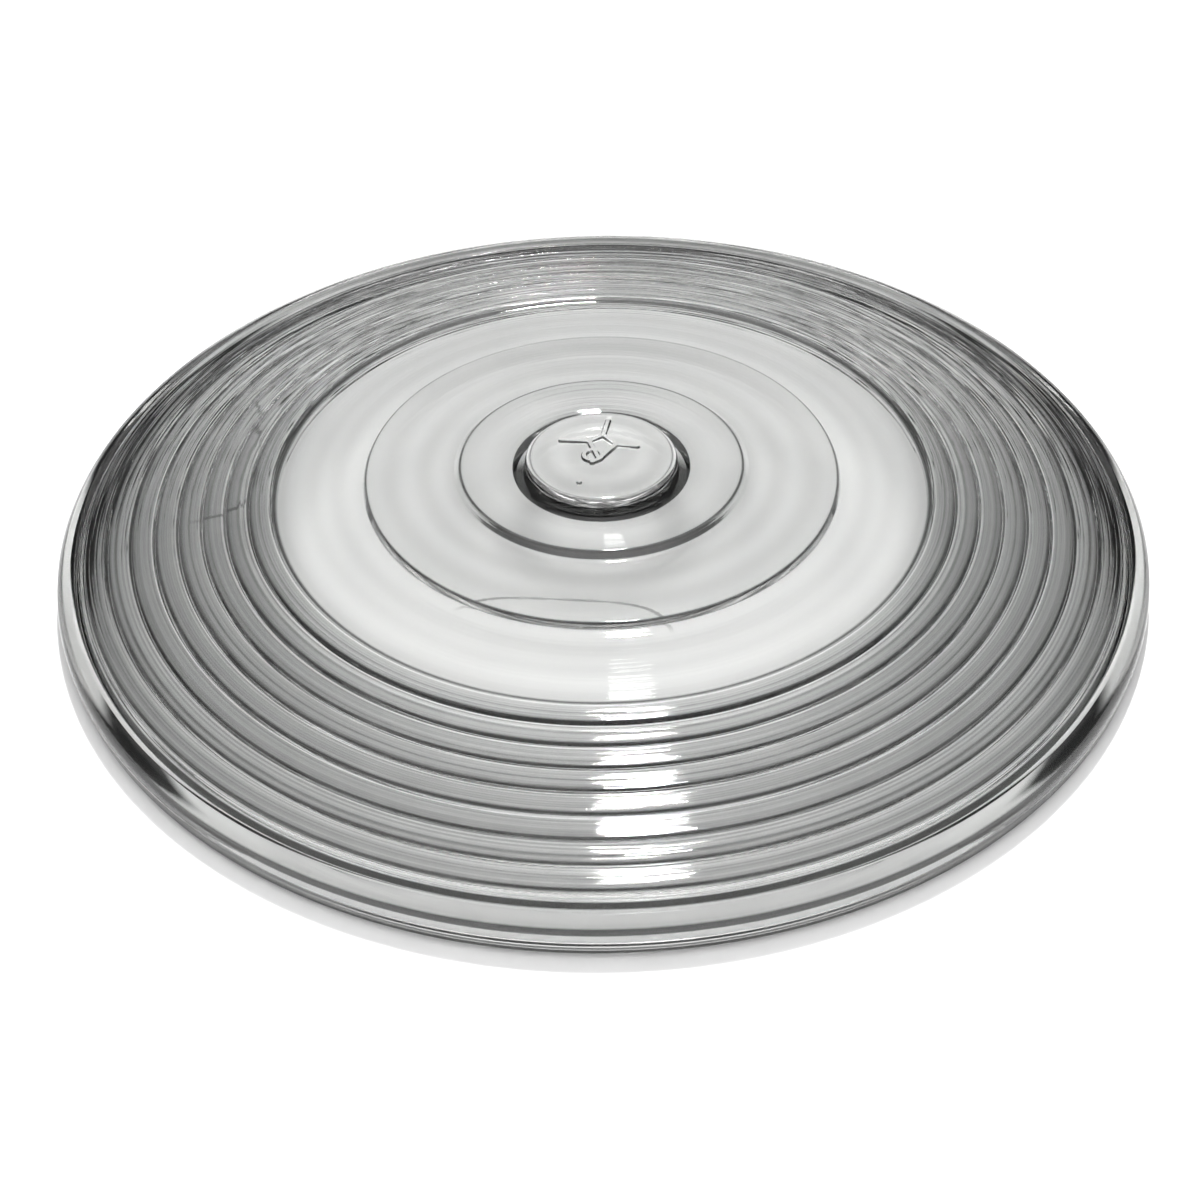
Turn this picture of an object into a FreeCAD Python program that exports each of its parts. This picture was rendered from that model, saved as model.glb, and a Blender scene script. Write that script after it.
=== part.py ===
"""Clearance light lens: one clear moulding, a shallow round cap with a stepped centre and prism rings.

Millimetres. The axis of the round is +Z, the outer face looks up, and the origin is the centre of the
flat seat under the rim, where the lens stands on its lamp base or on a table.
"""
import FreeCAD, Part
import math
import os

TOUCH = 1e-6               # points nearer than this are one point
RUN_ANGLE = 45             # degrees that each short run of a small round stretch turns

# Overall form
OUTER_DIAMETER = 101.6
DOME_RISE = 4.6            # from the rim level of the outer face to its crown
RIM_LEVEL = 3.6            # height of that dome where it would meet the outer diameter
WALL = 2.2                 # thickness under the clear zone

# Rim: a rounded bead inside the outer edge, a groove inside the bead and a flat seat below
BEAD_WIDTH = 1.9
BEAD_TOP = 3.45
BEAD_OUTER_RADIUS = 1.4
BEAD_GROOVE_DEPTH = 0.45
BEAD_GROOVE_WIDTH = 0.5
FOOT_RADIUS = 0.4
SEAT_WIDTH = 2.4
SEAT_DRAFT = 0.5           # how far the inside of the skirt leans in towards the dome
UNDERSIDE_ARCH = 0.8       # rise of the hollow underside over a straight slope, halfway to the land
UNDERSIDE_RUNS = 6         # straight runs that draw that arch
LAND_RADIUS = 5.0          # flat land under the boss, where the ejector pin pushes

# Prism rings
RING_START_RADIUS = 30.85
RING_PITCH = 2.17
RING_COUNT = 8
RING_LIP = 0.12            # height of the outer edge of each ring face over the dome
RING_GROOVE_WIDTH = 0.36   # the narrow groove outside each ring face
RING_GROOVE_DEPTH = 0.42

# Clear zone, a shallow trough between the rings and the terrace
TROUGH_DEPTH = 0.55
TROUGH_WALL_RUN = 0.4
TERRACE_RADIUS = 22.0
TERRACE_WALL_RUN = 0.35

# Stepped centre
DISC_RADIUS = 13.2
DISC_STEP = 0.6
DISC_WALL_RUN = 0.7
DISH_RADIUS = 9.6          # where the gentle slope of the disc turns down to the foot of the boss
DISH_EDGE_DEPTH = 0.55     # below the dome, at that radius
DISH_DEPTH = 1.65          # below the dome, at the foot of the boss
BOSS_RADIUS = 7.15
BOSS_FOOT_RADIUS = 8.0
BOSS_HEIGHT = 2.1          # above its foot
BOSS_EDGE_RADIUS = 0.7
BOSS_FLARE_HEIGHT = 0.6    # where the wall starts to spread into the dish

# Centre mark: four fine ribs round the stub that the moulding gate leaves
MARK_RIB_START = 1.2
MARK_RIB_LENGTH = 2.3
MARK_RIB_WIDTH = 0.4
MARK_RIB_HEIGHT = 0.25
MARK_RIB_COUNT = 4
MARK_TURN = -8.0           # degrees
GATE_RADIUS = 1.1
GATE_HEIGHT = 0.2

RIM_RADIUS = OUTER_DIAMETER / 2
INNER_OFFSET = TROUGH_DEPTH + WALL
DOME_RADIUS = (RIM_RADIUS ** 2 + DOME_RISE ** 2) / (2 * DOME_RISE)


def dome(radius, offset=0.0):
    """Height of the dome of the outer face at a radius, or of one parallel to it, offset inwards."""
    centre = RIM_LEVEL + DOME_RISE - DOME_RADIUS
    return centre + math.sqrt((DOME_RADIUS - offset) ** 2 - radius ** 2)


def at(radius, height):
    return FreeCAD.Vector(radius, 0, height)


class Outline:
    """A half section that grows edge by edge from its first point."""

    def __init__(self, start):
        self.start = start
        self.end = start
        self.edges = []

    def line(self, point):
        if point.distanceToPoint(self.end) > TOUCH:
            self.edges.append(Part.LineSegment(self.end, point).toShape())
            self.end = point

    def bulge(self, rise, point):
        """An arc whose middle stands above the straight line to its end point."""
        middle = (self.end + point) / 2 + at(0, rise)
        self.edges.append(Part.Arc(self.end, middle, point).toShape())
        self.end = point

    def arch(self, rise, point, runs):
        """A shallow arch to a point, drawn as short straight runs."""
        start = self.end
        for run in range(1, runs + 1):
            share = run / runs
            height = rise * (1 - (2 * share - 1) ** 2)
            self.line(start + (point - start) * share + at(0, height))

    def bend(self, centre, radius, start, end):
        """A small round stretch, drawn as short runs from one angle to another in degrees."""
        runs = round(abs(end - start) / RUN_ANGLE)
        for run in range(runs + 1):
            angle = math.radians(start + (end - start) * run / runs)
            self.line(centre + at(radius * math.cos(angle), radius * math.sin(angle)))

    def shell(self, radius, offset=0.0):
        """Follows the dome, or its parallel, to a radius."""
        halfway = (self.end.x + radius) / 2
        chord_height = (self.end.z + dome(radius, offset)) / 2
        self.bulge(dome(halfway, offset) - chord_height, at(radius, dome(radius, offset)))

    def solid(self):
        self.line(self.start)
        face = Part.Face(Part.Wire(self.edges))
        return face.revolve(FreeCAD.Vector(0, 0, 0), FreeCAD.Vector(0, 0, 1), 360)


def add_boss(outline, foot):
    """The round boss: a flat top, a rounded edge and a wall that flares into the dish."""
    edge_height = foot + BOSS_HEIGHT - BOSS_EDGE_RADIUS
    outline.bend(at(BOSS_RADIUS - BOSS_EDGE_RADIUS, edge_height), BOSS_EDGE_RADIUS, 90, 0)
    outline.line(at(BOSS_RADIUS, foot + BOSS_FLARE_HEIGHT))
    outline.line(at(BOSS_FOOT_RADIUS, foot))


def add_disc(outline):
    """The disc dips towards the boss and drops at its edge to the terrace, which ends on the dome."""
    outline.line(at(DISH_RADIUS, dome(DISH_RADIUS) - DISH_EDGE_DEPTH))
    outline.line(at(DISC_RADIUS, dome(DISC_RADIUS)))
    disc_foot = DISC_RADIUS + DISC_WALL_RUN
    outline.line(at(disc_foot, dome(disc_foot) - DISC_STEP))
    outline.line(at(TERRACE_RADIUS, dome(TERRACE_RADIUS)))


def add_clear_zone(outline):
    trough_inner = TERRACE_RADIUS + TERRACE_WALL_RUN
    outline.line(at(trough_inner, dome(trough_inner, TROUGH_DEPTH)))
    outline.shell(RING_START_RADIUS - TROUGH_WALL_RUN, TROUGH_DEPTH)
    outline.line(at(RING_START_RADIUS, dome(RING_START_RADIUS)))


def add_rings(outline):
    """Concentric prisms: each face rises from the dome to a lip, and a narrow groove follows it."""
    for ring in range(1, RING_COUNT + 1):
        outer = RING_START_RADIUS + ring * RING_PITCH
        lip = outer - RING_GROOVE_WIDTH
        bottom = outer - RING_GROOVE_WIDTH / 2
        outline.line(at(lip, dome(lip) + RING_LIP))
        outline.line(at(bottom, dome(bottom) - RING_GROOVE_DEPTH))
        outline.line(at(outer, dome(outer)))


def add_rim(outline):
    """The groove inside the bead, the rounded bead, the outer edge and the flat seat."""
    bead_inner = RIM_RADIUS - BEAD_WIDTH
    crest = RIM_RADIUS - BEAD_OUTER_RADIUS
    inner_round = crest - bead_inner
    outline.line(at(bead_inner - BEAD_GROOVE_WIDTH, dome(bead_inner) - BEAD_GROOVE_DEPTH))
    outline.bend(at(crest, BEAD_TOP - inner_round), inner_round, 180, 90)
    outline.bend(at(crest, BEAD_TOP - BEAD_OUTER_RADIUS), BEAD_OUTER_RADIUS, 90, 0)
    outline.bend(at(RIM_RADIUS - FOOT_RADIUS, FOOT_RADIUS), FOOT_RADIUS, 0, -90)
    outline.line(at(RIM_RADIUS - FOOT_RADIUS - SEAT_WIDTH, 0))


def add_underside(outline):
    skirt_top = outline.end.x - SEAT_DRAFT
    outline.line(at(skirt_top, dome(skirt_top, INNER_OFFSET)))
    land_height = dome(LAND_RADIUS, INNER_OFFSET)
    outline.arch(UNDERSIDE_ARCH, at(LAND_RADIUS, land_height), UNDERSIDE_RUNS)
    outline.line(at(0, land_height))


def centre_mark(top):
    """The four ribs and the gate stub that stand on the top of the boss."""
    pieces = [Part.makeCylinder(GATE_RADIUS, GATE_HEIGHT, at(0, top))]
    corner = FreeCAD.Vector(MARK_RIB_START, -MARK_RIB_WIDTH / 2, top)
    for rib in range(MARK_RIB_COUNT):
        bar = Part.makeBox(MARK_RIB_LENGTH, MARK_RIB_WIDTH, MARK_RIB_HEIGHT, corner)
        bar.rotate(at(0, 0), at(0, 1), MARK_TURN + rib * 360 / MARK_RIB_COUNT)
        pieces.append(bar)
    return pieces


boss_foot = dome(BOSS_FOOT_RADIUS) - DISH_DEPTH
boss_top = boss_foot + BOSS_HEIGHT
section = Outline(at(0, boss_top))
add_boss(section, boss_foot)
add_disc(section)
add_clear_zone(section)
add_rings(section)
add_rim(section)
add_underside(section)
lens = section.solid().multiFuse(centre_mark(boss_top)).removeSplitter()

os.makedirs("parts", exist_ok=True)
lens.exportStep("parts/lens.step")
print("valid", lens.isValid(), "solids", len(lens.Solids), "volume", round(lens.Volume))
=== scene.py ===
import bmesh
import bpy
import math
from mathutils import Matrix, Vector


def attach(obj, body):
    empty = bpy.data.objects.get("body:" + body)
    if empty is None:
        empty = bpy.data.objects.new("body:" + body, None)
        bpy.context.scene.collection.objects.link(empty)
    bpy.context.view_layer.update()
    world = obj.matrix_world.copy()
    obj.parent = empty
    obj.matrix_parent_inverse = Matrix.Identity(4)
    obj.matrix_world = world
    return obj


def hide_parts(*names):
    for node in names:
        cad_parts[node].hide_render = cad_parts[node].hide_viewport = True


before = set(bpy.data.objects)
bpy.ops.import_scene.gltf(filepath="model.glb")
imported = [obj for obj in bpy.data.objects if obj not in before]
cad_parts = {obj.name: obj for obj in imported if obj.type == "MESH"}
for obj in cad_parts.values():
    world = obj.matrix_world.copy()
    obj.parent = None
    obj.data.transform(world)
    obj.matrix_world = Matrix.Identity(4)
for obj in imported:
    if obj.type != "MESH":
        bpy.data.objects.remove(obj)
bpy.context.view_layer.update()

MM = 0.001                          # the lens is sized in millimetres and built in metres
MELT = 1e-6                         # points nearer than this are one point

# The lens is one moulding in clear acrylic: a shallow dome on a low skirt. Its half section is drawn
# from the crown outwards, round the rim and back under the dome, and then spun about the axis. The
# mould is cut with crisp corners, and the polish and the flow of the plastic leave them slightly round.
OUTER_RADIUS = 50.8
DOME_RISE = 4.6
RIM_LEVEL = 3.6                     # height at which the dome would meet the outer radius
WALL = 2.2
SPIN_STEPS = 256
ROUNDING_RUNS = 3
DOME_CURVE = (OUTER_RADIUS ** 2 + DOME_RISE ** 2) / (2 * DOME_RISE)


def dome(radius, offset=0.0):
    """Height of the dome at a radius, or of a shell parallel to it, offset inwards."""
    centre = RIM_LEVEL + DOME_RISE - DOME_CURVE
    return centre + math.sqrt((DOME_CURVE - offset) ** 2 - radius ** 2)


class Section:
    """The half section as a chain of vertices, with how far each corner is rounded back."""

    def __init__(self):
        self.mesh = bmesh.new()
        self.last = None
        self.corners = {}

    def corner(self, radius, height, rounding=0.0):
        vertex = self.mesh.verts.new((radius * MM, 0, height * MM))
        if self.last:
            self.mesh.edges.new((self.last, vertex))
        self.last = vertex
        if rounding:
            self.corners.setdefault(rounding, []).append(vertex)

    def arch(self, radius, height, rise, runs, rounding=0.0):
        """A shallow arch from the last corner to the next one."""
        start_radius, start_height = self.last.co.x / MM, self.last.co.z / MM
        for run in range(1, runs):
            share = run / runs
            lift = rise * (1 - (2 * share - 1) ** 2)
            self.corner(start_radius + (radius - start_radius) * share,
                        start_height + (height - start_height) * share + lift)
        self.corner(radius, height, rounding)

    def spin(self):
        """Rounds the corners, turns the section about the axis and closes the mesh."""
        mesh = self.mesh
        for rounding, vertices in self.corners.items():
            bmesh.ops.bevel(mesh, geom=vertices, offset=rounding * MM, segments=ROUNDING_RUNS, profile=0.5,
                            affect="VERTICES", material=-1)
        bmesh.ops.spin(mesh, geom=mesh.verts[:] + mesh.edges[:], cent=(0, 0, 0), axis=(0, 0, 1),
                       angle=math.tau, steps=SPIN_STEPS, use_merge=True, use_duplicate=False)
        bmesh.ops.remove_doubles(mesh, verts=mesh.verts, dist=MELT)
        bmesh.ops.recalc_face_normals(mesh, faces=mesh.faces)
        for face in mesh.faces:
            face.smooth = True
        return mesh


section = Section()

# The boss in the middle has a flat top, which the mould marks with four fine ribs round the stub of
# the gate. Its wall flares into the dish of the disc, and the disc drops to the terrace at its edge.
BOSS_RADIUS = 7.15
BOSS_FOOT_RADIUS = 8.0
BOSS_HEIGHT = 2.1
BOSS_EDGE = 0.7
BOSS_FLARE_HEIGHT = 0.6
BOSS_FLARE_ROUNDING = 0.3
MARK_REACH = 5.6                    # the top is finely divided out to here, for the mark
MARK_RUNS = 50
DISH_RADIUS = 8.3                   # the foot of the boss is rounded steeply from here inwards
DISH_EDGE_DEPTH = 0.85
DISH_DEPTH = 1.65
DISC_RADIUS = 13.2
DISC_STEP = 0.6
DISC_WALL_RUN = 0.7
DISC_CROWN = 0.04
DISC_FOOT_ROUNDING = 0.2
FACE_RUNS = 6                       # short runs that draw a wide face of the section
SHARP_ROUNDING = 0.12               # of the corners that catch a thin line of light
SOFT_ROUNDING = 0.15                # of the corners that catch a wider one
boss_foot = dome(BOSS_FOOT_RADIUS) - DISH_DEPTH
boss_top = boss_foot + BOSS_HEIGHT
disc_foot = DISC_RADIUS + DISC_WALL_RUN
section.corner(0, boss_top)
section.arch(MARK_REACH, boss_top, 0, MARK_RUNS)
section.corner(BOSS_RADIUS, boss_top, BOSS_EDGE)
section.corner(BOSS_RADIUS, boss_foot + BOSS_FLARE_HEIGHT, BOSS_FLARE_ROUNDING)
section.corner(BOSS_FOOT_RADIUS, boss_foot, SHARP_ROUNDING)
section.corner(DISH_RADIUS, dome(DISH_RADIUS) - DISH_EDGE_DEPTH, SOFT_ROUNDING)
section.arch(DISC_RADIUS, dome(DISC_RADIUS), DISC_CROWN, FACE_RUNS, SHARP_ROUNDING)
section.corner(disc_foot, dome(disc_foot) - DISC_STEP, DISC_FOOT_ROUNDING)

# The terrace and the clear zone: a step down from the terrace, a smooth shallow trough that shows the
# table through it, and a step up to the first ring.
TERRACE_RADIUS = 22.0
TERRACE_WALL_RUN = 0.35
TERRACE_CROWN = 0.05
TROUGH_DEPTH = 0.55
TROUGH_END_DEPTH = 0.35
TROUGH_WALL_RUN = 0.4
TROUGH_END_ROUNDING = 0.3
RING_START = 30.85
section.arch(TERRACE_RADIUS, dome(TERRACE_RADIUS), TERRACE_CROWN, FACE_RUNS, SHARP_ROUNDING)
trough_start = TERRACE_RADIUS + TERRACE_WALL_RUN
trough_end = RING_START - TROUGH_WALL_RUN
trough_rise = (trough_end - trough_start) ** 2 / (8 * DOME_CURVE)
section.corner(trough_start, dome(trough_start, TROUGH_DEPTH), SOFT_ROUNDING)
section.arch(trough_end, dome(trough_end, TROUGH_END_DEPTH), trough_rise, FACE_RUNS, TROUGH_END_ROUNDING)
section.corner(RING_START, dome(RING_START), SOFT_ROUNDING)

# The prism rings are moulded in one with the dome and spread the light of the bulb: each face rises a
# little to its lip, and a narrow groove follows the lip.
RING_COUNT = 8
RING_PITCH = 2.17
RING_LIP = 0.12
RING_CROWN = 0.05
RING_GROOVE_WIDTH = 0.36
RING_GROOVE_DEPTH = 0.42
RING_ROUNDING = 0.06
RING_RUNS = 5
for ring in range(1, RING_COUNT + 1):
    outer = RING_START + ring * RING_PITCH
    lip = outer - RING_GROOVE_WIDTH
    groove = outer - RING_GROOVE_WIDTH / 2
    section.arch(lip, dome(lip) + RING_LIP, RING_CROWN, RING_RUNS, RING_ROUNDING)
    section.corner(groove, dome(groove) - RING_GROOVE_DEPTH, RING_ROUNDING)
    section.corner(outer, dome(outer), RING_ROUNDING)

# The rim: a groove, a rounded bead, the line where the two halves of the mould part, an upright edge
# and the flat seat. The underside is one smooth hollow with a flat land under the boss.
BEAD_WIDTH = 1.9
BEAD_TOP = 3.45
BEAD_INNER_ROUND = 0.49
BEAD_OUTER_ROUND = 1.4
GROOVE_WIDTH = 0.5
GROOVE_DEPTH = 0.45
GROOVE_ROUNDING = 0.1
PARTING_HEIGHT = 1.4
PARTING_STEP = 0.1
PARTING_ROUNDING = 0.03
FOOT_ROUND = 0.4
SEAT_WIDTH = 2.4
SEAT_DRAFT = 0.5
SKIRT_ROUNDING = 0.5
LAND_RADIUS = 5.0
UNDERSIDE_ARCH = 0.8
UNDERSIDE_RUNS = 16
bead_inner = OUTER_RADIUS - BEAD_WIDTH
seat_inner = OUTER_RADIUS - FOOT_ROUND - SEAT_WIDTH
skirt_top = seat_inner - SEAT_DRAFT
underside = TROUGH_DEPTH + WALL
section.corner(bead_inner - GROOVE_WIDTH, dome(bead_inner) - GROOVE_DEPTH, GROOVE_ROUNDING)
section.corner(bead_inner, BEAD_TOP - BEAD_INNER_ROUND, GROOVE_ROUNDING)
section.corner(bead_inner, BEAD_TOP, BEAD_INNER_ROUND)
section.corner(OUTER_RADIUS, BEAD_TOP, BEAD_OUTER_ROUND)
section.corner(OUTER_RADIUS, PARTING_HEIGHT + PARTING_STEP, PARTING_ROUNDING)
section.corner(OUTER_RADIUS - PARTING_STEP, PARTING_HEIGHT, PARTING_ROUNDING)
section.corner(OUTER_RADIUS - PARTING_STEP, 0, FOOT_ROUND)
section.corner(seat_inner, 0, SOFT_ROUNDING)
section.corner(skirt_top, dome(skirt_top, underside), SKIRT_ROUNDING)
section.arch(LAND_RADIUS, dome(LAND_RADIUS, underside), UNDERSIDE_ARCH, UNDERSIDE_RUNS)
section.corner(0, dome(LAND_RADIUS, underside))
mesh = section.spin()

# The mark stands on the top of the boss as fine square ridges: a diamond round the gate with a rib
# from each of its corners, the ring of the gate and a pip.
MARK_HEIGHT = 0.2
RIDGE_HALF = 0.3                    # from the middle of a ridge to its foot
RIDGE_SLOPE = 0.12                  # width of its sides
DIAMOND = ((-1.11, 1.98), (0.21, 2.9), (1.42, 1.43), (-0.2, -0.87))
RIB_ENDS = ((-3.74, 2.21), (0.72, 5.31), (3.37, 1.06), (-0.85, -1.31))
GATE_PLACE = Vector((-0.75, -0.23))
GATE_RADIUS = 0.85
PIP_PLACE = Vector((-2.05, -4.31))


def ridge_distance(point, start, end):
    """How far a point is from the straight line between two others."""
    along = end - start
    share = min(1, max(0, (point - start).dot(along) / along.length_squared))
    return (point - start - along * share).length


ridges = []
for number, (corner, rib_end) in enumerate(zip(DIAMOND, RIB_ENDS)):
    ridges.append((Vector(corner), Vector(DIAMOND[number - 1])))
    ridges.append((Vector(corner), Vector(rib_end)))
for vertex in mesh.verts:
    point = vertex.co.xy / MM
    if point.length < MARK_REACH and vertex.co.z > dome(0) * MM:
        distances = [ridge_distance(point, start, end) for start, end in ridges]
        distances.append(abs((point - GATE_PLACE).length - GATE_RADIUS))
        distances.append((point - PIP_PLACE).length)
        vertex.co.z += MM * MARK_HEIGHT * min(1, max(0, (RIDGE_HALF - min(distances)) / RIDGE_SLOPE))
data = bpy.data.meshes.new("clear_lens")
mesh.to_mesh(data)
mesh.free()
lens = bpy.data.objects.new("clear_lens", data)
bpy.context.scene.collection.objects.link(lens)

# Clear acrylic as the mould leaves it, in four zones, with painted shade and light in the tints: the centre
# is polished, the turned ring faces are painted greyer and carry painted fine lines, the rim has painted
# bands of light and shade, and the inserts of the mould print their outlines on the underside.
REFRACTIVE_INDEX = 1.49
ROUGHNESS = 0.02
TINT = (0.995, 1.0, 0.99)


def ramp(tree, value, stops):
    """A Color Ramp of greys, from pairs of a position and a level."""
    node = tree.nodes.new("ShaderNodeValToRGB")
    tree.links.new(value, node.inputs[0])
    elements = node.color_ramp.elements
    elements[1].position = 1.0
    while len(elements) < len(stops):
        elements.new(0.5)
    for element, (position, level) in zip(elements, stops):
        element.position = position
        element.color = (level, level, level, 1)
    return node.outputs[0]


class Acrylic:
    """Clear acrylic in one zone of the lens, with the place on it in millimetres."""

    def __init__(self, name):
        self.material = bpy.data.materials.new(name)
        self.material.use_nodes = True
        self.tree = self.material.node_tree
        self.shader = self.tree.nodes["Principled BSDF"]
        self.place = self.tree.nodes.new("ShaderNodeTexCoord").outputs["Object"]
        axes = self.tree.nodes.new("ShaderNodeSeparateXYZ")
        self.tree.links.new(self.place, axes.inputs[0])
        self.east, self.north, self.height = [self.calc("DIVIDE", axes.outputs[axis], MM) for axis in "XYZ"]
        self.radius = self.calc("SQRT", self.calc("ADD", self.calc("MULTIPLY", self.east, self.east),
                                                  self.calc("MULTIPLY", self.north, self.north)))

    def calc(self, operation, *values):
        """A Math node on the outputs of other nodes or on plain numbers."""
        node = self.tree.nodes.new("ShaderNodeMath")
        node.operation = operation
        for socket, value in zip(node.inputs, values):
            if isinstance(value, bpy.types.NodeSocket):
                self.tree.links.new(value, socket)
            else:
                socket.default_value = value
        return node.outputs[0]

    def fade(self, value, low, high):
        """Rises smoothly from 0 at the first number to 1 at the second, which may be the lower one."""
        node = self.tree.nodes.new("ShaderNodeMapRange")
        node.interpolation_type = "SMOOTHSTEP"
        self.tree.links.new(value, node.inputs["Value"])
        node.inputs["From Min"].default_value = low
        node.inputs["From Max"].default_value = high
        return node.outputs["Result"]

    def radial_noise(self, pitch, detail):
        """Noise that changes only with the radius: the relief that a cutter leaves, and painted rings of
        light and shade.
        """
        node = self.tree.nodes.new("ShaderNodeTexNoise")
        node.noise_dimensions = "1D"
        self.tree.links.new(self.radius, node.inputs["W"])
        node.inputs["Scale"].default_value = 1 / pitch
        node.inputs["Detail"].default_value = detail
        return node.outputs[0]

    def paint_shade(self, tint, share, strength):
        """The tint, less a share of it as painted shade where the share is 1."""
        return self.calc("MULTIPLY", tint, self.calc("SUBTRACT", 1.0, self.calc("MULTIPLY", share, strength)))

    def finish(self, tint, relief=None):
        """Wires the tint and the height of the fine relief, in millimetres, into the shader."""
        shade = self.tree.nodes.new("ShaderNodeCombineColor")
        for socket, share in zip(shade.inputs, TINT):
            self.tree.links.new(self.calc("MULTIPLY", tint, share), socket)
        self.tree.links.new(shade.outputs[0], self.shader.inputs["Base Color"])
        if relief:
            bump = self.tree.nodes.new("ShaderNodeBump")
            bump.inputs["Distance"].default_value = MM
            self.tree.links.new(relief, bump.inputs["Height"])
            self.tree.links.new(bump.outputs[0], self.shader.inputs["Normal"])
        self.shader.inputs["Roughness"].default_value = ROUGHNESS
        self.shader.inputs["IOR"].default_value = REFRACTIVE_INDEX
        self.shader.inputs["Transmission Weight"].default_value = 1.0
        lens.data.materials.append(self.material)


# The polished centre: a grey tint as painted shade of the table seen through it, a painted dark line of shade
# at each step, and painted soft ripples of shade. The wall of the boss towards the front and the sides of the
# mark are steep and painted nearly black as shade.
CENTRE_SHADE_TINTS = (                    # radius and tint
    (0.0, 0.68), (6.5, 0.68), (6.65, 0.02), (6.8, 1.0), (7.3, 1.0), (8.1, 0.62),
    (13.0, 0.62), (13.12, 0.02), (13.28, 0.02), (13.4, 0.62),
    (21.8, 0.62), (21.9, 0.02), (22.1, 0.02), (22.2, 0.8),
    (30.2, 0.8), (30.4, 0.02), (30.6, 0.02), (30.8, 0.6))
SHADE_DARK = 0.99                         # share of the light that a painted dark line of shade takes away
SHADE_RIPPLE_PITCH = 2.4
SHADE_RIPPLE_SPAN = 0.6
SHADE_RIPPLE_LOW = 0.7
BOSS_WALL_SHADE_EDGE = (8.2, 8.0)         # radii between which the painted shade of the wall sets in
BOSS_WALL_SHADE_DROP = (0.6, 0.75)        # the same, in depth below the top of the boss
BOSS_WALL_SHADE_NORTH = (5.0, 0.0)        # the same, from the back to the front
MARK_SHADE_FOOT = (0.02, 0.06)       # heights above the top of the boss
MARK_SHADE_HEAD = (0.01, 0.05)       # depths below the top of the mark
POLISH_PITCH = 0.35
POLISH_RELIEF = 0.012
centre = Acrylic("polished acrylic")
# painted shade: a grey for each zone and a dark line at each step
zone_shade_tint = ramp(centre.tree, centre.calc("DIVIDE", centre.radius, RING_START),
                 [(radius / RING_START, tint) for radius, tint in CENTRE_SHADE_TINTS])
# painted soft ripples of shade, as the light that the rings throw on the table
shade_ripple = centre.calc("MULTIPLY", centre.radial_noise(SHADE_RIPPLE_PITCH, 0), SHADE_RIPPLE_SPAN)
centre_painted_tint = centre.calc("MULTIPLY", zone_shade_tint, centre.calc("ADD", shade_ripple, SHADE_RIPPLE_LOW))
# painted shade on the steep wall of the boss, towards the front
wall_shade_drop = centre.fade(centre.height, boss_top - BOSS_WALL_SHADE_DROP[0], boss_top - BOSS_WALL_SHADE_DROP[1])
boss_wall_shade = centre.calc("MULTIPLY", centre.fade(centre.radius, *BOSS_WALL_SHADE_EDGE), wall_shade_drop)
boss_wall_shade = centre.calc("MULTIPLY", boss_wall_shade, centre.fade(centre.north, *BOSS_WALL_SHADE_NORTH))
mark_top = boss_top + MARK_HEIGHT
# painted shade on the steep sides of the mark
mark_side_shade = centre.calc(
    "MULTIPLY",
    centre.fade(centre.height, boss_top + MARK_SHADE_FOOT[0], boss_top + MARK_SHADE_FOOT[1]),
    centre.fade(centre.height, mark_top - MARK_SHADE_HEAD[0], mark_top - MARK_SHADE_HEAD[1]))
centre_painted_tint = centre.paint_shade(centre_painted_tint, centre.calc("MAXIMUM", boss_wall_shade, mark_side_shade), SHADE_DARK)
centre.finish(centre_painted_tint, centre.calc("MULTIPLY", centre.radial_noise(POLISH_PITCH, 1), POLISH_RELIEF))

# The prism rings: painted shade makes each face greyer towards its lip and the groove black, and painted
# light and dark lines follow the fine relief of the cutter. The painted shade is deeper at the left and
# right, and lighter at the back.
RING_SHADE_TINTS = (                      # share of the pitch and tint
    (0.0, 1.0), (0.06, 1.0), (0.1, 0.48), (0.5, 0.31), (0.74, 0.2), (0.81, 0.02), (0.86, 0.01), (0.91, 1.0))
TURNED_PITCH = 0.34
PAINTED_LINE_SPAN = 2.4
PAINTED_LINE_LOW = -0.2
TURNED_RELIEF = 0.075
BACK_NORTH = (0.0, 25.0)
BACK_PAINTED_LIGHT = 0.8
BACK_RELIEF_LOSS = 0.057
MIDDLE_PAINTED_LIGHT = 1.1
SIDE_PAINTED_SHADE = 0.4
rings = Acrylic("turned acrylic")
from_start = rings.calc("SUBTRACT", rings.radius, RING_START)
ring_share = rings.calc("FRACT", rings.calc("DIVIDE", from_start, RING_PITCH))
relief_and_painted_lines = rings.radial_noise(TURNED_PITCH, 1)
# painted shade, deeper at the left and right and lighter at the back
sideways = rings.calc("DIVIDE", rings.calc("ABSOLUTE", rings.east), rings.radius)
at_back = rings.fade(rings.north, *BACK_NORTH)
painted_light_gain = rings.calc("ADD", rings.calc("SUBTRACT", MIDDLE_PAINTED_LIGHT, rings.calc("MULTIPLY", sideways, SIDE_PAINTED_SHADE)),
                  rings.calc("MULTIPLY", at_back, BACK_PAINTED_LIGHT))
ring_shade_tint = rings.calc("MULTIPLY", ramp(rings.tree, ring_share, RING_SHADE_TINTS), painted_light_gain)
# painted light and dark lines along the marks of the cutter
painted_line_tint = rings.calc("ADD", rings.calc("MULTIPLY", relief_and_painted_lines, PAINTED_LINE_SPAN), PAINTED_LINE_LOW)
relief = rings.calc("SUBTRACT", TURNED_RELIEF, rings.calc("MULTIPLY", at_back, BACK_RELIEF_LOSS))
rings.finish(rings.calc("MULTIPLY", rings.calc("MINIMUM", ring_shade_tint, 1.0), painted_line_tint),
             rings.calc("MULTIPLY", relief_and_painted_lines, relief))

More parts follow.
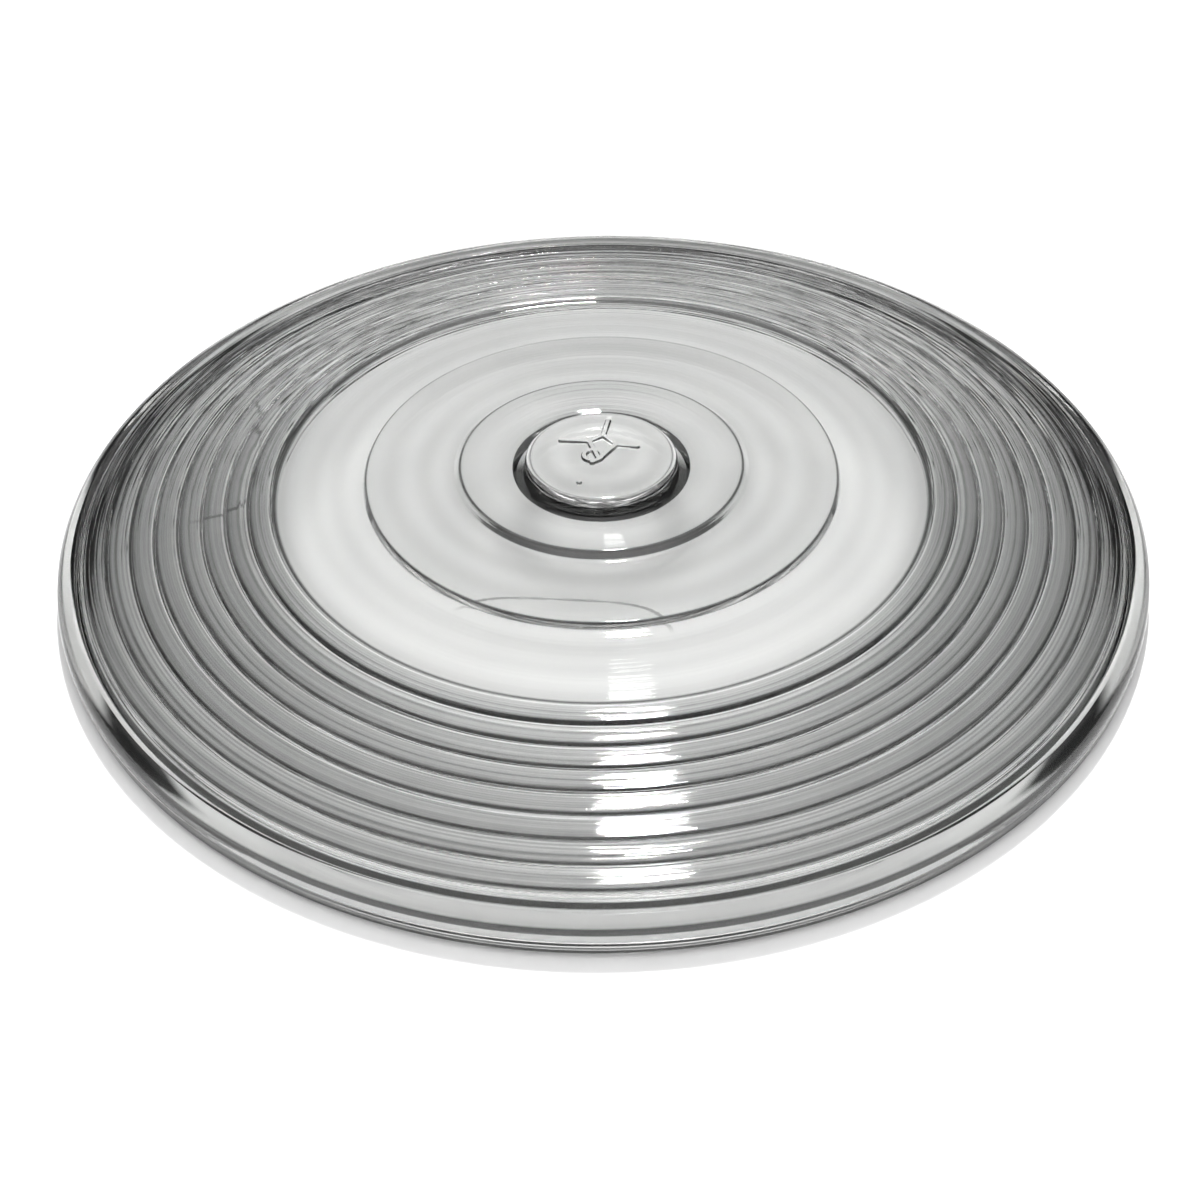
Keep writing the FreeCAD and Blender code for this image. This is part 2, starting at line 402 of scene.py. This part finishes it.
# The rim: painted dark and clear bands up its outer edge, where the bead and the parting line bend the light,
# painted shade on the outer edge away from the front, and a painted dark line of shade in the groove inside
# the bead.
RIM_PAINTED_BANDS = (                       # share of the height of the bead and tint
    (0.0, 0.01), (0.18, 0.02), (0.21, 1.0), (0.37, 1.0), (0.39, 0.0), (0.44, 0.0), (0.46, 1.0),
    (0.66, 1.0), (0.69, 0.02), (0.82, 0.04), (0.86, 1.0), (1.0, 1.0))
PAINTED_BAND_EDGE = (50.3, 50.5)
FAR_EDGE_SHADE = (49.95, 50.15)
FAR_SHADE_NORTH = (-35.0, -10.0)
GROOVE_SHADE_RADIUS = 48.65
GROOVE_SHADE_EDGE = (0.3, 0.15)      # distances from the middle of the line
GROOVE_SHADE_DARK = 0.98
rim = Acrylic("rim acrylic")
painted_bands = ramp(rim.tree, rim.calc("DIVIDE", rim.height, BEAD_TOP), RIM_PAINTED_BANDS)
painted_band_share = rim.fade(rim.radius, *PAINTED_BAND_EDGE)
rim_painted_tint = rim.calc("SUBTRACT", 1.0, rim.calc("MULTIPLY", painted_band_share, rim.calc("SUBTRACT", 1.0, painted_bands)))
# painted shade on the outer edge, away from the front
far_edge_shade = rim.calc("MULTIPLY", rim.fade(rim.radius, *FAR_EDGE_SHADE), rim.fade(rim.north, *FAR_SHADE_NORTH))
rim_painted_tint = rim.paint_shade(rim_painted_tint, far_edge_shade, SHADE_DARK)
# a painted dark line of shade in the groove inside the bead
from_groove = rim.calc("ABSOLUTE", rim.calc("SUBTRACT", rim.radius, GROOVE_SHADE_RADIUS))
rim.finish(rim.paint_shade(rim_painted_tint, rim.fade(from_groove, *GROOVE_SHADE_EDGE), GROOVE_SHADE_DARK))

# The underside: the inserts of the mould print thin bowed outlines at the front and at the left, and
# the faces under the rings carry the lines of the cutter.
FRONT_INSERT = ((-4.4, -24.5), -0.09, (10.2, 7.0), 22.5)    # middle, turn, half size and reach
LEFT_INSERT = ((-40.5, 7.9), 0.145, (7.0, 12.0), 39.0)
OUTLINE_EDGE = (0.1, 0.04)          # how far off the oval, in its own equation
OUTLINE_FADE = 2
OUTLINE_DARK = 0.7
UNDER_RINGS = (29.0, 31.0)
UNDERSIDE_RELIEF = 0.07
below = Acrylic("underside acrylic")


def insert_outline(middle, turn, half_size, reach):
    """The thin bowed outline of a mould insert, an oval that fades away from the axis."""
    shift = below.tree.nodes.new("ShaderNodeMapping")
    shift.vector_type = "TEXTURE"
    shift.inputs["Location"].default_value = (middle[0] * MM, middle[1] * MM, 0)
    shift.inputs["Rotation"].default_value = (0, 0, turn)
    shift.inputs["Scale"].default_value = (half_size[0] * MM, half_size[1] * MM, 1)
    below.tree.links.new(below.place, shift.inputs[0])
    local = below.tree.nodes.new("ShaderNodeSeparateXYZ")
    below.tree.links.new(shift.outputs[0], local.inputs[0])
    fourth_powers = []
    for axis in "XY":
        square = below.calc("MULTIPLY", local.outputs[axis], local.outputs[axis])
        fourth_powers.append(below.calc("MULTIPLY", square, square))
    from_line = below.calc("ABSOLUTE", below.calc("SUBTRACT", below.calc("ADD", *fourth_powers), 1.0))
    return below.calc("MULTIPLY", below.fade(from_line, *OUTLINE_EDGE),
                      below.fade(below.radius, reach, reach - OUTLINE_FADE))


inserts = below.calc("MAXIMUM", insert_outline(*FRONT_INSERT), insert_outline(*LEFT_INSERT))
below_relief = below.calc("MULTIPLY", below.fade(below.radius, *UNDER_RINGS), UNDERSIDE_RELIEF)
below.finish(below.calc("SUBTRACT", 1.0, below.calc("MULTIPLY", inserts, OUTLINE_DARK)),
             below.calc("MULTIPLY", below.radial_noise(TURNED_PITCH, 1), below_relief))

RIM_START = 48.35
UNDERSIDE_DROP = 1.85               # a face this far below the dome belongs to the underside
CENTRE_ZONE, RING_ZONE, RIM_ZONE, UNDERSIDE_ZONE = range(4)
for face in lens.data.polygons:
    place = face.center / MM
    if place.xy.length > RIM_START:
        face.material_index = RIM_ZONE
    elif place.z < dome(place.xy.length) - UNDERSIDE_DROP:
        face.material_index = UNDERSIDE_ZONE
    elif place.xy.length > RING_START:
        face.material_index = RING_ZONE
    else:
        face.material_index = CENTRE_ZONE
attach(lens, "root")
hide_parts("lens")

# The floor is a plain white table top of matt paper, wide enough to reach the horizon of every view.
# The lens stands loose on it.
FLOOR_WIDTH = 6.0
FLOOR_GAP = 0.00005                 # the seat stands on its high spots, a hair above the table
PAPER_WHITE = (0.93, 0.93, 0.93, 1)
bpy.ops.mesh.primitive_plane_add(size=FLOOR_WIDTH, location=(0, 0, -FLOOR_GAP))
floor = bpy.context.object
floor.name = "table_top"
paper = bpy.data.materials.new("white paper")
paper.use_nodes = True
shader = paper.node_tree.nodes["Principled BSDF"]
shader.inputs["Base Color"].default_value = PAPER_WHITE
shader.inputs["Roughness"].default_value = 1.0
shader.inputs["Specular IOR Level"].default_value = 0.0
floor.data.materials.append(paper)

# The studio: a bright ceiling, dark walls that the edges of the clear plastic pick up, and a pale
# band at the horizon. One lamp high behind the lens draws the bright column down its front.
ROOM = (                            # sine of the elevation and brightness
    (0.0, 1.45), (0.12, 1.3), (0.22, 0.1), (0.68, 0.07), (0.85, 1.6), (1.0, 2.5))
world = bpy.data.worlds.new("studio")
bpy.context.scene.world = world
world.use_nodes = True
room_place = world.node_tree.nodes.new("ShaderNodeTexCoord")
room_axes = world.node_tree.nodes.new("ShaderNodeSeparateXYZ")
world.node_tree.links.new(room_place.outputs["Generated"], room_axes.inputs[0])
world.node_tree.links.new(ramp(world.node_tree, room_axes.outputs["Z"], ROOM),
                          world.node_tree.nodes["Background"].inputs["Color"])

LAMP_SIZE = (0.045, 0.08)
LAMP_POWER = 7.0
LAMP_DISTANCE = 0.8
LAMP_ELEVATION = math.radians(62)
LAMP_AZIMUTH = math.radians(176)
lamp_data = bpy.data.lights.new("back_lamp", "AREA")
lamp_data.shape = "RECTANGLE"
lamp_data.size, lamp_data.size_y = LAMP_SIZE
lamp_data.energy = LAMP_POWER
lamp = bpy.data.objects.new("back_lamp", lamp_data)
lamp.location = LAMP_DISTANCE * Vector((math.cos(LAMP_ELEVATION) * math.sin(LAMP_AZIMUTH),
                                        -math.cos(LAMP_ELEVATION) * math.cos(LAMP_AZIMUTH),
                                        math.sin(LAMP_ELEVATION)))
lamp.rotation_euler = (-lamp.location).to_track_quat("-Z", "Y").to_euler()
bpy.context.scene.collection.objects.link(lamp)

# The camera looks down on the lens from close by, at the angle and with the frame that the ellipses of
# the rings in the photograph give.
CAMERA_ELEVATION = math.radians(38.94)
CAMERA_DISTANCE = 0.1651
CAMERA_DIP = math.radians(2.48)     # how far it looks below the seat centre
CAMERA_ROLL = math.radians(-0.916)
CAMERA_PAN = math.radians(0.146)
FOCAL_PIXELS = 1711.5
PICTURE_PIXELS = 1200
SENSOR_WIDTH = 36
CLIP_START = 0.01
camera_data = bpy.data.cameras.new("camera")
camera_data.sensor_width = SENSOR_WIDTH
camera_data.lens = FOCAL_PIXELS / PICTURE_PIXELS * SENSOR_WIDTH
camera_data.clip_start = CLIP_START
camera = bpy.data.objects.new("camera", camera_data)
camera.location = (0, -CAMERA_DISTANCE * math.cos(CAMERA_ELEVATION),
                   CAMERA_DISTANCE * math.sin(CAMERA_ELEVATION))
camera.rotation_euler = (Matrix.Rotation(CAMERA_PAN, 3, "Z")
                         @ Matrix.Rotation(math.pi / 2 - CAMERA_ELEVATION - CAMERA_DIP, 3, "X")
                         @ Matrix.Rotation(CAMERA_ROLL, 3, "Z")).to_euler()
bpy.context.scene.collection.objects.link(camera)
bpy.context.scene.camera = camera
bpy.context.scene.view_settings.view_transform = "Standard"
